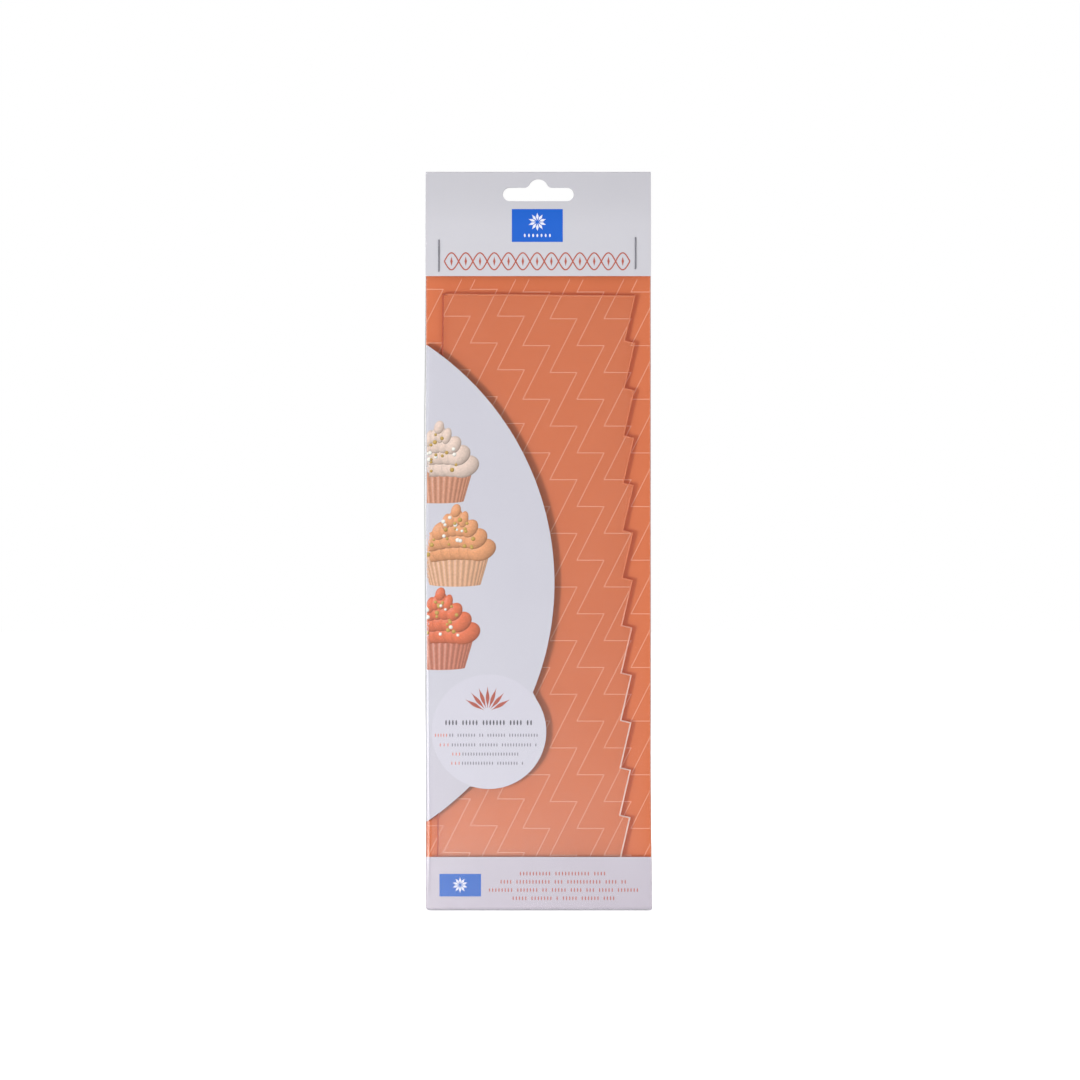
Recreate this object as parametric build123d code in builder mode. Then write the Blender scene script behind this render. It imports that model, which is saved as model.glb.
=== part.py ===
"""Tall patterned-edge side scraper, an acrylic icing smoother, hanging in its retail pack.

Millimetres, +Z up, +X right, the front of the pack faces -Y. The origin is the centre of the
hang slot, on the rear face of the header card. Depths are measured from that face to the front.
"""

import os
from math import ceil, cos, radians, sin, sqrt

from build123d import *

os.makedirs("parts", exist_ok=True)

# Sheet goods, and the slack between layers that lie on each other
board = 0.35
film = 0.06
layer_gap = 0.10
overrun = 2.0

# Scraper plate: acrylic, straight on the left and saw-toothed on the right
plate_width = 80.0
plate_length = 254.0
plate_thickness = 3.0
plate_edge_break = 0.5
tooth_pitch = 19.65
tooth_depth = 4.15
step_drop = 0.95
plate_tilt = 0.55

# How the plate lies in the pouch
slip = 0.15
plate_seat = 0.2
left_play = 4.0
right_play = 8.7
head_room = 7.2

# Insert card: back panel, big lobe and small disc folded over from the left, bottom flap
insert_top_gap = 3.4
lobe_radius = 118.5
lobe_reach = 53.2
lobe_rise = 135.5
disc_radius = 23.8
disc_inset = 26.2
disc_rise = 74.1
bottom_flap = 22.0
corner_radius = 1.6

# Header card and its hang slot
mouth_drop = 22.8
bag_overlap = 20.7
fold_gap = 0.3
crease_rise = 1.0
slot_drop = 9.5
slot_width = 29.4
slot_height = 5.8
bump_height = 6.4
bump_radius = 4.1
bump_fillet = 2.4

# Pouch: its slack beside the cards, and how the header presses its back in
film_slack = 0.6
tuck = 0.1
tuck_gap = 0.5

# Staples, each upright near one side of the header
staple_wire = 0.55
staple_crown = 12.7
staple_clinch = 2.6
staple_gap = 0.05
hole_clearance = 0.05
slit_clearance = 0.25
left_staple_inset = 5.5
right_staple_inset = 6.5
left_staple_rise = 2.1
right_staple_rise = 3.1

# Layers through the pack, as depths from the header's rear face
film_rear = board + layer_gap
insert_rear = film_rear + film + layer_gap
plate_rear = insert_rear + board + slip
flap_rear = plate_rear + plate_thickness + slip
film_front_inner = flap_rear + board + layer_gap
film_front = film_front_inner + film
header_front = film_front + layer_gap + board

# Outline of the pack
wall = film + layer_gap
pack_width = 2 * wall + board + left_play + plate_width + right_play
pack_left = -pack_width / 2
pouch_width = pack_width + 2 * film_slack
tilt = radians(plate_tilt)
plate_height = plate_length * cos(tilt) + plate_width * sin(tilt)
header_top = slot_drop
header_bottom = header_top - mouth_drop - bag_overlap
bag_mouth = header_bottom + bag_overlap
plate_foot = header_bottom - head_room - plate_height
insert_bottom = plate_foot - plate_seat - board
bag_bottom = insert_bottom - wall

# Places of the staples: their x, and the height of the lower leg
staples = {
    "left_staple": (pack_left + left_staple_inset, header_bottom + left_staple_rise),
    "right_staple": (-pack_left - right_staple_inset, header_bottom + right_staple_rise),
}


# Scraper plate. Its corner at the foot of the tooth line is the pivot of its slight tilt.
pivot = (pack_left + wall + board + left_play + plate_width, -plate_rear, plate_foot)
plate_plane = Plane(origin=pivot, x_dir=(cos(tilt), 0, -sin(tilt)), z_dir=(0, -1, 0))
tooth_count = ceil(plate_length / tooth_pitch)
tooth_line = [(-plate_width, plate_length)]
for tooth in range(tooth_count):
    tip = plate_length - tooth * tooth_pitch
    tooth_line += [(0, tip), (-tooth_depth, tip - tooth_pitch + step_drop)]
last_tip = plate_length - tooth_count * tooth_pitch
tooth_line += [(0, last_tip), (-plate_width, last_tip)]

with BuildPart() as scraper_plate:
    with BuildSketch(plate_plane):
        with BuildLine():
            Polyline(*tooth_line, close=True)
        make_face()
        Rectangle(plate_width, plate_length, align=(Align.MAX, Align.MIN), mode=Mode.INTERSECT)
    extrude(amount=plate_thickness)
    rims = scraper_plate.faces().filter_by(Axis.Y).edges()
    chamfer(rims, plate_edge_break)
scraper_plate.part.label = "scraper_plate"
export_step(scraper_plate.part, "parts/scraper_plate.step")


# Insert card, die-cut from one sheet and folded at the left and at the bottom
insert_left = pack_left + wall
insert_top = bag_mouth - insert_top_gap
insert_width = pack_width - 2 * wall
insert_corner = corner_radius - wall
lobe_height = bag_bottom + lobe_rise
lobe_chord = 2 * sqrt(lobe_radius**2 - (lobe_radius - lobe_reach) ** 2)
slit_width = staple_wire + 2 * slit_clearance

with BuildPart() as insert_card:
    with BuildSketch(Plane.XZ.offset(insert_rear)) as panel:
        with Locations((insert_left, insert_bottom)):
            Rectangle(insert_width, insert_top - insert_bottom, align=(Align.MIN, Align.MIN))
        fillet(panel.vertices().group_by(Axis.Y)[0].sort_by(Axis.X)[0], insert_corner)
    extrude(amount=board)
    with BuildSketch(Plane.XZ.offset(flap_rear)) as flaps:
        with Locations((insert_left, insert_bottom)):
            Rectangle(insert_width, bottom_flap, align=(Align.MIN, Align.MIN))
        with Locations((insert_left + lobe_reach - lobe_radius, lobe_height)):
            Circle(lobe_radius)
        with Locations((pack_left + disc_inset, bag_bottom + disc_rise)):
            Circle(disc_radius)
        with Locations((insert_left, insert_bottom)):
            Rectangle(
                insert_width,
                insert_top - insert_bottom,
                align=(Align.MIN, Align.MIN),
                mode=Mode.INTERSECT,
            )
        fillet(flaps.vertices().group_by(Axis.Y)[0].sort_by(Axis.X)[0], insert_corner)
    extrude(amount=board)
    with BuildSketch(Plane.XZ.offset(insert_rear)):
        with Locations((insert_left, lobe_height)):
            Rectangle(board, lobe_chord, align=(Align.MIN, Align.CENTER))
        with Locations((insert_left + insert_corner, insert_bottom)):
            Rectangle(insert_width - insert_corner, board, align=(Align.MIN, Align.MIN))
    extrude(amount=flap_rear + board - insert_rear)
    with BuildSketch(Plane.XZ):
        for staple_x, staple_low in staples.values():
            with Locations((staple_x, staple_low - slit_width / 2)):
                Rectangle(slit_width, insert_top - staple_low + overrun, align=(Align.CENTER, Align.MIN))
    extrude(amount=header_front, mode=Mode.SUBTRACT)
insert_card.part.label = "insert_card"
export_step(insert_card.part, "parts/insert_card.step")


# Clear pouch. Behind the header it is pressed in a little. Each staple has a slit up to the
# mouth, where its legs leave the film as the header is pulled off.
tuck_top = header_bottom - tuck_gap

with BuildPart() as clear_bag:
    with BuildSketch(Plane.XZ.offset(film_rear - tuck)) as pouch:
        with Locations((0, bag_bottom)):
            Rectangle(pouch_width, tuck_top - bag_bottom, align=(Align.CENTER, Align.MIN))
        fillet(pouch.vertices().group_by(Axis.Y)[0].sort_by(Axis.X)[0], corner_radius)
    extrude(amount=film_front - film_rear + tuck)
    with BuildSketch(Plane.XZ.offset(film_rear)):
        with Locations((0, tuck_top)):
            Rectangle(pouch_width, bag_mouth - tuck_top, align=(Align.CENTER, Align.MIN))
    extrude(amount=film_front - film_rear)
    with BuildSketch(Plane.XZ.offset(film_rear - tuck + film)) as hollow:
        with Locations((0, bag_bottom + film)):
            Rectangle(
                pouch_width - 2 * film,
                tuck_top - bag_bottom - 2 * film,
                align=(Align.CENTER, Align.MIN),
            )
        fillet(hollow.vertices().group_by(Axis.Y)[0].sort_by(Axis.X)[0], corner_radius - film)
    extrude(amount=film_front_inner - film_rear + tuck - film, mode=Mode.SUBTRACT)
    with BuildSketch(Plane.XZ.offset(film_rear + film)):
        with Locations((0, tuck_top - film - overrun)):
            Rectangle(
                pouch_width - 2 * film,
                bag_mouth - tuck_top + film + 2 * overrun,
                align=(Align.CENTER, Align.MIN),
            )
    extrude(amount=film_front_inner - film_rear - film, mode=Mode.SUBTRACT)
    with BuildSketch(Plane.XZ):
        for staple_x, staple_low in staples.values():
            with Locations((staple_x, staple_low - slit_width / 2)):
                Rectangle(slit_width, bag_mouth - staple_low + overrun, align=(Align.CENTER, Align.MIN))
    extrude(amount=header_front, mode=Mode.SUBTRACT)
clear_bag.part.label = "clear_bag"
export_step(clear_bag.part, "parts/clear_bag.step")


# Header card: one strip of board folded over the mouth of the pouch. The front panel stands
# upright past the pouch and leans back to the fold above it.
crease = bag_mouth + crease_rise
fold_depth = 2 * board + fold_gap

with BuildPart() as header_card:
    with BuildSketch(Plane.YZ) as section:
        with BuildLine():
            Polyline(
                (0, header_bottom - board),
                (0, header_top),
                (-fold_depth, header_top),
                (-header_front, crease),
                (-header_front, header_bottom - board),
                close=True,
            )
        make_face()
        offset(amount=-board, kind=Kind.INTERSECTION, mode=Mode.SUBTRACT)
        with Locations((0, header_bottom)):
            Rectangle(header_front, board, align=(Align.MAX, Align.MAX), mode=Mode.SUBTRACT)
    extrude(amount=pack_width / 2, both=True)
    with BuildSketch(Plane.XZ) as slot:
        SlotOverall(slot_width, slot_height)
        with Locations((0, bump_height - bump_radius)):
            Circle(bump_radius)
        fillet(slot.vertices().sort_by_distance((0, slot_height / 2))[:2], bump_fillet)
    extrude(amount=header_front, mode=Mode.SUBTRACT)
    with BuildSketch(Plane.XZ):
        for staple_x, staple_low in staples.values():
            with Locations((staple_x, staple_low), (staple_x, staple_low + staple_crown)):
                Circle(staple_wire / 2 + hole_clearance)
    extrude(amount=header_front, mode=Mode.SUBTRACT)
header_card.part.label = "header_card"
export_step(header_card.part, "parts/header_card.step")


# Staples: the crown lies on the front panel, the legs are clinched towards each other behind
wire_stand = staple_gap + staple_wire / 2

for name, (staple_x, staple_low) in staples.items():
    staple_high = staple_low + staple_crown
    with BuildPart() as staple:
        with BuildLine(Plane.YZ.offset(staple_x)) as wire_line:
            FilletPolyline(
                (wire_stand, staple_low + staple_clinch),
                (wire_stand, staple_low),
                (-header_front - wire_stand, staple_low),
                (-header_front - wire_stand, staple_high),
                (wire_stand, staple_high),
                (wire_stand, staple_high - staple_clinch),
                radius=wire_stand,
            )
        with BuildSketch(Plane(origin=wire_line.line @ 0, z_dir=wire_line.line % 0)):
            Circle(staple_wire / 2)
        sweep()
    staple.part.label = name
    export_step(staple.part, f"parts/{name}.step")
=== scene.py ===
from math import cos, pi, radians, sin, sqrt

import bmesh
import bpy
import numpy as np
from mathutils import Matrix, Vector


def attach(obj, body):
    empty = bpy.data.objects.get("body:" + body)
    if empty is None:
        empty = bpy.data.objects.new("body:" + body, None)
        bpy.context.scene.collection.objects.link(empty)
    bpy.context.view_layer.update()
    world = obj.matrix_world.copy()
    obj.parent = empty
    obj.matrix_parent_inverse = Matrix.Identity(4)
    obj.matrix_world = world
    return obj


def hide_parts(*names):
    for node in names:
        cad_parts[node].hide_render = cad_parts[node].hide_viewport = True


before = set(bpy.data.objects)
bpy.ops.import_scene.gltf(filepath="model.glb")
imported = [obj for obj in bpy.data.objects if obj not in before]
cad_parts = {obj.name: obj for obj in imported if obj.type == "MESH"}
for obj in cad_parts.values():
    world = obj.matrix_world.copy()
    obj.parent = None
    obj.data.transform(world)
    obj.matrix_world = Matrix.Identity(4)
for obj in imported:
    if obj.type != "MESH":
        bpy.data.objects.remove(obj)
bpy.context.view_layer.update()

mm = 0.001

# Camera and backdrop
# The pack hangs upright before a white sweep and is seen straight on through a long lens, so its
# sides stay parallel. The floor touches its foot and keeps its shadow.
scene = bpy.context.scene
scene.view_settings.view_transform = "Standard"

view_centre = Vector((0.70, 0.0, -143.26)) * mm
view_width = 447.1 * mm
view_distance = 2.0
pack_front = -5.0 * mm
camera = bpy.data.cameras.new("camera")
camera.sensor_width = 36.0
camera.lens = camera.sensor_width * (view_distance + pack_front) / view_width
camera_object = bpy.data.objects.new("camera", camera)
camera_object.location = view_centre + Vector((0.0, -view_distance, 0.0))
camera_object.rotation_euler = (radians(90.0), 0.0, 0.0)
scene.collection.objects.link(camera_object)
scene.camera = camera_object


def seen_directly(tree):
    """One for camera, glossy and transmission rays and zero for the rest: the largest of the three."""
    path = tree.nodes.new("ShaderNodeLightPath")
    first = tree.nodes.new("ShaderNodeMath")
    first.operation = "MAXIMUM"
    tree.links.new(path.outputs["Is Camera Ray"], first.inputs[0])
    tree.links.new(path.outputs["Is Glossy Ray"], first.inputs[1])
    both = tree.nodes.new("ShaderNodeMath")
    both.operation = "MAXIMUM"
    tree.links.new(first.outputs[0], both.inputs[0])
    tree.links.new(path.outputs["Is Transmission Ray"], both.inputs[1])
    return both.outputs[0]


def ranged(tree, value, start, end, low=0.0, high=1.0):
    """A socket's value carried evenly from start..end to low..high, and held at both ends."""
    span = tree.nodes.new("ShaderNodeMapRange")
    span.inputs["From Min"].default_value = start
    span.inputs["From Max"].default_value = end
    span.inputs["To Min"].default_value = low
    span.inputs["To Max"].default_value = high
    tree.links.new(value, span.inputs["Value"])
    return span.outputs["Result"]


def backing(name, corners):
    """A flat square of four corners, in metres, for what stands round the object."""
    mesh = bpy.data.meshes.new(name)
    mesh.from_pydata(corners, [], [(0, 1, 2, 3)])
    square = bpy.data.objects.new(name, mesh)
    scene.collection.objects.link(square)
    return square


white = (1.0, 1.0, 1.0, 1.0)
sky_white = 1.0
sky_light = 0.45
world = bpy.data.worlds.new("studio")
world.use_nodes = True
scene.world = world
sky = world.node_tree
sky_level = ranged(sky, seen_directly(sky), 0.0, 1.0, sky_light, sky_white)
sky.links.new(sky_level, sky.nodes["Background"].inputs["Strength"])
sky.nodes["Background"].inputs["Color"].default_value = white

floor_height = -0.2969
floor_reach = 6.0
floor_corners = [
    (-floor_reach, -floor_reach, floor_height),
    (floor_reach, -floor_reach, floor_height),
    (floor_reach, floor_reach, floor_height),
    (-floor_reach, floor_reach, floor_height),
]
floor = backing("floor", floor_corners)
floor.visible_shadow = False
floor.visible_glossy = False

floor_grey = 0.9
floor_glow = 0.68
floor_paint = bpy.data.materials.new("white_sweep")
floor_paint.use_nodes = True
sweep = floor_paint.node_tree
sweep.nodes.clear()
sweep_diffuse = sweep.nodes.new("ShaderNodeBsdfDiffuse")
sweep_diffuse.inputs["Color"].default_value = (floor_grey, floor_grey, floor_grey, 1.0)
sweep_glow = sweep.nodes.new("ShaderNodeEmission")
sweep_level = ranged(sweep, seen_directly(sweep), 0.0, 1.0, 0.0, floor_glow)
sweep.links.new(sweep_level, sweep_glow.inputs["Strength"])
sweep_sum = sweep.nodes.new("ShaderNodeAddShader")
sweep_out = sweep.nodes.new("ShaderNodeOutputMaterial")
sweep.links.new(sweep_diffuse.outputs[0], sweep_sum.inputs[0])
sweep.links.new(sweep_glow.outputs[0], sweep_sum.inputs[1])
sweep.links.new(sweep_sum.outputs[0], sweep_out.inputs["Surface"])
floor.data.materials.append(floor_paint)


# Lamps
# One soft box at the left, a little below, gives the short shadows to the right of each edge. A
# weaker one above the camera fills them, and a wide one lights the back. Three more are seen only
# in the gloss of film and plate. A grey flag behind the camera keeps that gloss quiet.
def soft_box(name, place, aim, width, height, power):
    """An area lamp at place, turned to aim, width by height in metres, with its power in watts."""
    lamp = bpy.data.lights.new(name, "AREA")
    lamp.shape = "RECTANGLE"
    lamp.size = width
    lamp.size_y = height
    lamp.energy = power
    lamp_object = bpy.data.objects.new(name, lamp)
    lamp_object.location = place
    lamp_object.rotation_euler = (Vector(aim) - Vector(place)).to_track_quat("-Z", "Y").to_euler()
    scene.collection.objects.link(lamp_object)
    return lamp_object


pack_middle = (0.0, 0.0, -0.15)
key_lamp = soft_box("key_lamp", (-0.72, -0.95, -0.40), pack_middle, 0.24, 0.34, 9.5)
key_lamp.visible_glossy = False
fill_lamp = soft_box("fill_lamp", (0.5, -2.0, 0.35), pack_middle, 1.0, 1.0, 6.9)
fill_lamp.visible_glossy = False
sheen_lamp = soft_box("sheen_lamp", (-0.22, -2.3, -0.68), pack_middle, 0.45, 0.40, 3.6)
sheen_lamp.visible_diffuse = False
side_lamp = soft_box("side_lamp", (-1.25, -2.0, -0.42), pack_middle, 0.35, 0.8, 13.0)
side_lamp.visible_diffuse = False
edge_lamp = soft_box("edge_lamp", (1.2, 0.03, -0.58), pack_middle, 0.30, 0.26, 0.9)
edge_lamp.visible_diffuse = False
soft_box("rear_lamp", (0.7, 1.5, 0.9), pack_middle, 1.2, 1.2, 22.0)

flag_distance = 2.4
flag_reach = 1.9
flag_corners = [
    (-flag_reach, -flag_distance, -flag_reach),
    (flag_reach, -flag_distance, -flag_reach),
    (flag_reach, -flag_distance, flag_reach),
    (-flag_reach, -flag_distance, flag_reach),
]
flag = backing("flag", flag_corners)
flag.visible_camera = False
flag.visible_diffuse = False
flag.visible_shadow = False
flag.visible_transmission = False
flag_paint = bpy.data.materials.new("grey_flag")
flag_paint.use_nodes = True
cloth = flag_paint.node_tree
cloth.nodes.clear()
cloth_glow = cloth.nodes.new("ShaderNodeEmission")
cloth_glow.inputs["Color"].default_value = white
cloth_glow.inputs["Strength"].default_value = 0.02
cloth_out = cloth.nodes.new("ShaderNodeOutputMaterial")
cloth.links.new(cloth_glow.outputs[0], cloth_out.inputs["Surface"])
flag.data.materials.append(flag_paint)


# Insert card
# One sheet of coated board, printed pale outside and orange inside. It is creased round the plate
# at the left, where the lobe folds over, and at the foot, where the bottom flap folds up.
def piece_from(name, points, faces, paints):
    """A new object at the origin: points is an (n, 3) array in millimetres, faces index them."""
    mesh = bpy.data.meshes.new(name)
    mesh.from_pydata((np.asarray(points) * mm).tolist(), [], np.asarray(faces).tolist())
    for paint in paints:
        mesh.materials.append(paint)
    mesh.update()
    piece = bpy.data.objects.new(name, mesh)
    scene.collection.objects.link(piece)
    return piece


def grid_faces(rows, columns):
    """Quads between neighbouring points of a grid stored row by row, as indices."""
    first = (np.arange(rows - 1)[:, None] * columns + np.arange(columns - 1)).reshape(-1, 1)
    return first + np.array([0, 1, columns + 1, columns])


def laid_out(x, depth, z):
    """The points of a grid as one (n, 3) array, from their x, their depth and their height."""
    return np.stack(np.broadcast_arrays(x, -depth, z), axis=-1).reshape(-1, 3)


def joined(sheets):
    """Several (points, faces) sheets as one, each sheet's indices moved past the sheets before it."""
    starts = np.cumsum([0] + [len(points) for points, faces in sheets[:-1]])
    points = np.concatenate([points for points, faces in sheets])
    faces = np.concatenate([sheet[1] + start for sheet, start in zip(sheets, starts)])
    return points, faces


def smooth_by_angle(piece, degrees):
    """Smooth shading, with edges sharper than the angle kept hard."""
    piece.data.shade_smooth()
    piece.data.set_sharp_from_angle(angle=radians(degrees))


def welded(piece, gap):
    """Merges points nearer than gap, in millimetres, and turns the faces of each shell outwards."""
    shape = bmesh.new()
    shape.from_mesh(piece.data)
    bmesh.ops.remove_doubles(shape, verts=shape.verts, dist=gap * mm)
    bmesh.ops.dissolve_degenerate(shape, edges=shape.edges, dist=gap * mm)
    bmesh.ops.recalc_face_normals(shape, faces=shape.faces)
    shape.to_mesh(piece.data)
    shape.free()


board = 0.35
card_left = -46.525
card_right = 46.525
card_top = -16.7
card_foot = -296.506
card_corner = 1.44
card_bend = 1.2
back_depth = 0.785
flap_depth = 4.435
flap_top = -274.51
lobe_centre = (-111.825, -161.166)
lobe_radius = 118.5
disc_centre = (-20.485, -222.566)
disc_radius = 23.8
staple_lines = (-41.185, 40.185)
staple_feet = (-31.9, -30.9)
slit_half = 0.525


def ink(red, green, blue):
    """Linear RGBA of an 8-bit sRGB colour: each v is ((v / 255 + 0.055) / 1.055) to the power 2.4."""
    linear = [((v / 255 + 0.055) / 1.055) ** 2.4 for v in (red, green, blue)]
    return (*linear, 1.0)


def put(tree, source, socket):
    """Sets a socket to a number or a colour, or links it to another socket."""
    if isinstance(source, bpy.types.NodeSocket):
        tree.links.new(source, socket)
    else:
        socket.default_value = source


def tinted(tree, share, first, second):
    """A mix of two colours. Each of the three is written out or comes from a socket."""
    blend = tree.nodes.new("ShaderNodeMix")
    blend.data_type = "RGBA"
    put(tree, share, blend.inputs["Factor"])
    put(tree, first, blend.inputs["A"])
    put(tree, second, blend.inputs["B"])
    return blend.outputs["Result"]


def noise(tree, scale, detail=2.0):
    """Noise on the piece's own Object coordinates, with scale patches to the metre."""
    place = tree.nodes.new("ShaderNodeTexCoord")
    patches = tree.nodes.new("ShaderNodeTexNoise")
    patches.inputs["Scale"].default_value = scale
    patches.inputs["Detail"].default_value = detail
    tree.links.new(place.outputs["Object"], patches.inputs["Vector"])
    return patches.outputs["Fac"]


def printed_board(name, colour, shade, gloss=0.38):
    """Coated board: its ink mottles slowly to a second shade, and fine fibre shows in the gloss."""
    paint = bpy.data.materials.new(name)
    paint.use_nodes = True
    tree = paint.node_tree
    shader = tree.nodes["Principled BSDF"]
    mottle = tinted(tree, noise(tree, 26.0, 5.0), colour, shade)
    fibre = noise(tree, 2600.0, 3.0)
    polish = ranged(tree, fibre, 0.0, 1.0, gloss - 0.06, gloss + 0.06)
    tooth = tree.nodes.new("ShaderNodeBump")
    tooth.inputs["Strength"].default_value = 0.12
    tooth.inputs["Distance"].default_value = 0.03 * mm
    tree.links.new(mottle, shader.inputs["Base Color"])
    tree.links.new(fibre, tooth.inputs["Height"])
    tree.links.new(polish, shader.inputs["Roughness"])
    tree.links.new(tooth.outputs["Normal"], shader.inputs["Normal"])
    shader.inputs["Specular IOR Level"].default_value = 0.3
    return paint


# The pale print is mixed darker and warmer towards the foot of the front
warm_from = -0.215
warm_to = -0.300
front_from = -0.004
pale_print = printed_board("pale_print", ink(208, 207, 217), ink(202, 201, 212))
tree = pale_print.node_tree
level = tree.nodes.new("ShaderNodeSeparateXYZ")
at_front = tree.nodes.new("ShaderNodeMath")
at_front.operation = "LESS_THAN"
at_front.inputs[1].default_value = front_from
front_foot = tree.nodes.new("ShaderNodeMath")
front_foot.operation = "MULTIPLY"
tree.links.new(tree.nodes["Texture Coordinate"].outputs["Object"], level.inputs["Vector"])
tree.links.new(level.outputs["Y"], at_front.inputs[0])
tree.links.new(ranged(tree, level.outputs["Z"], warm_from, warm_to), front_foot.inputs[0])
tree.links.new(at_front.outputs[0], front_foot.inputs[1])
plain_print = tree.nodes["Mix"].outputs["Result"]
warm_print = tinted(tree, front_foot.outputs[0], plain_print, ink(199, 191, 203))
tree.links.new(warm_print, tree.nodes["Principled BSDF"].inputs["Base Color"])
orange_print = printed_board("orange_print", ink(223, 121, 77), ink(216, 114, 72))
board_edge = printed_board("board_edge", ink(232, 224, 216), ink(214, 204, 196), gloss=0.7)


def half_chord(x):
    """Half the lobe's height at a distance x: the chord of its circle."""
    return np.sqrt(lobe_radius**2 - (x - lobe_centre[0]) ** 2)


def right_edge(z):
    """The card's right edge at height z: straight, and eased out towards the foot."""
    return card_right + np.interp(z, (-290.0, -276.0, -235.0), (0.52, 0.34, 0.0))


def corner_inset(z):
    """How far the rounded corner at the foot pulls the left edge in at height z: a quarter circle."""
    drop = np.clip(card_corner - (z - card_foot), 0.0, card_corner)
    return card_corner - np.sqrt(card_corner**2 - drop**2)


# The crease: depth and outward reach along a quarter turn, a straight, and another quarter turn
turn = np.linspace(0.0, pi / 2, 7)
crease_depth = np.concatenate(
    [back_depth + card_bend * (1 - np.cos(turn)), flap_depth - card_bend * (1 - np.cos(turn[::-1]))]
)
crease_reach = np.concatenate([np.sin(turn), np.sin(turn[::-1])]) * card_bend - card_bend
fold_x = card_left + board / 2 + card_bend
fold_z = card_foot + board / 2 + card_bend

# The lobe is a fan of rays from the middle of the fold to the outline of its circle and the disc's
ray_count = 241
ring_count = 15
rays = np.linspace(pi / 2, -pi / 2, ray_count)
hub = np.array([fold_x, lobe_centre[1]])
ray_ways = np.stack([np.cos(rays), np.sin(rays)], axis=1)


def reach_along(rays_, centre, radius):
    """Furthest crossing of each ray from the hub with a circle, zero where it misses it."""
    offset = np.asarray(centre) - hub
    along = rays_ @ offset
    inside = radius**2 - (offset @ offset - along**2)
    return np.where(inside > 0, along + np.sqrt(np.maximum(inside, 0.0)), 0.0)


reach = np.maximum(
    reach_along(ray_ways, lobe_centre, lobe_radius), reach_along(ray_ways, disc_centre, disc_radius)
)
rings = np.linspace(0.0, 1.0, ring_count)
fan = hub + rings[:, None, None] * (reach[:, None] * ray_ways)
fan_points = laid_out(fan[..., 0], flap_depth, fan[..., 1])
lobe_sheet = (fan_points, grid_faces(ring_count, ray_count))

# The spine: heights taken from the two rays that lie on the fold
along_fold = np.concatenate([rings[::-1], -rings[1:]])
spine_x = fold_x - (crease_reach + card_bend)
spine_z = lobe_centre[1] + along_fold[:, None] * half_chord(spine_x)
spine_points = laid_out(spine_x, crease_depth, spine_z)
spine_sheet = (spine_points, grid_faces(len(along_fold), len(spine_x)))

# The back panel: its left column steps in to the fold beside the spine, and the slits are left open
slit_columns = [x + side * slit_half for x in staple_lines for side in (-1, 1)]
panel_x = np.unique(np.concatenate([[-44.0], slit_columns, np.linspace(-36, 36, 7)]))
spine_rows = lobe_centre[1] + along_fold * half_chord(fold_x)
step_rows = [spine_rows[0] + 0.05, spine_rows[-1] - 0.05]
slit_rows = [foot - slit_half for foot in staple_feet]
panel_z = np.concatenate([[card_top, *slit_rows, -45.0, step_rows[0]], spine_rows, [step_rows[1]]])
panel_z = np.sort(np.concatenate([panel_z, np.linspace(step_rows[1] - 6, fold_z, 6)]))[::-1]
beside_spine = (panel_z <= spine_rows[0] + 1e-6) & (panel_z >= spine_rows[-1] - 1e-6)
panel_left = np.where(beside_spine, fold_x, card_left + corner_inset(panel_z))
panel_grid_x = np.column_stack([panel_left, np.tile(panel_x, (len(panel_z), 1)), right_edge(panel_z)])
panel_points = laid_out(panel_grid_x, back_depth, panel_z[:, None])
panel_faces = grid_faces(len(panel_z), panel_grid_x.shape[1])
face_middles = panel_points[panel_faces].mean(axis=1)
in_slit = np.zeros(len(panel_faces), dtype=bool)
for slit_x, slit_low in zip(staple_lines, slit_rows):
    in_slit |= (abs(face_middles[:, 0] - slit_x) < slit_half) & (face_middles[:, 2] > slit_low)
panel_sheet = (panel_points, panel_faces[~in_slit])

# The foot: the same crease along x, then the bottom flap up to its cut edge
flap_rows = np.linspace(fold_z, flap_top, 6)[1:]
foot_depth = np.concatenate([crease_depth, np.full(len(flap_rows), flap_depth)])
foot_z = np.concatenate([fold_z - (crease_reach + card_bend), flap_rows])
foot_left = card_left + corner_inset(foot_z)
foot_x = np.column_stack([foot_left, np.tile(panel_x, (len(foot_z), 1)), right_edge(foot_z)])
foot_points = laid_out(foot_x, foot_depth[:, None], foot_z[:, None])
foot_sheet = (foot_points, grid_faces(len(foot_z), foot_x.shape[1]))

card_points, card_faces = joined([lobe_sheet, spine_sheet, panel_sheet, foot_sheet])
card = piece_from("folded_insert", card_points, card_faces, [pale_print, orange_print, board_edge])
welded(card, 0.01)


def thickened(piece, thickness, inner=0, rim=0, offset=0.0, even=True):
    """Gives a sheet its thickness, half to each side or, at an offset of -1, all inwards, with its
    own paint inside and on the cut edge."""
    wall = piece.modifiers.new("thickness", "SOLIDIFY")
    wall.thickness = thickness * mm
    wall.offset = offset
    wall.use_even_offset = even
    wall.material_offset = inner
    wall.material_offset_rim = rim
    graph = bpy.context.evaluated_depsgraph_get()
    flat = piece.data
    piece.data = bpy.data.meshes.new_from_object(piece.evaluated_get(graph))
    piece.modifiers.clear()
    bpy.data.meshes.remove(flat)


thickened(card, board, inner=1, rim=2)
smooth_by_angle(card, 40.0)
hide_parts("insert_card")
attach(card, "sleeve")


# Scraper plate
# Clear cast acrylic, 3 mm thick, laser cut with a straight back and a saw-toothed edge. It lies
# loose in the folded card, and its edges are broken by hand.
def shadow_pass(tree):
    """One for shadow and diffuse rays, so that what lies under clear goods is lit through them."""
    path = tree.nodes.new("ShaderNodeLightPath")
    either = tree.nodes.new("ShaderNodeMath")
    either.operation = "MAXIMUM"
    tree.links.new(path.outputs["Is Shadow Ray"], either.inputs[0])
    tree.links.new(path.outputs["Is Diffuse Ray"], either.inputs[1])
    return either.outputs[0]


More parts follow.
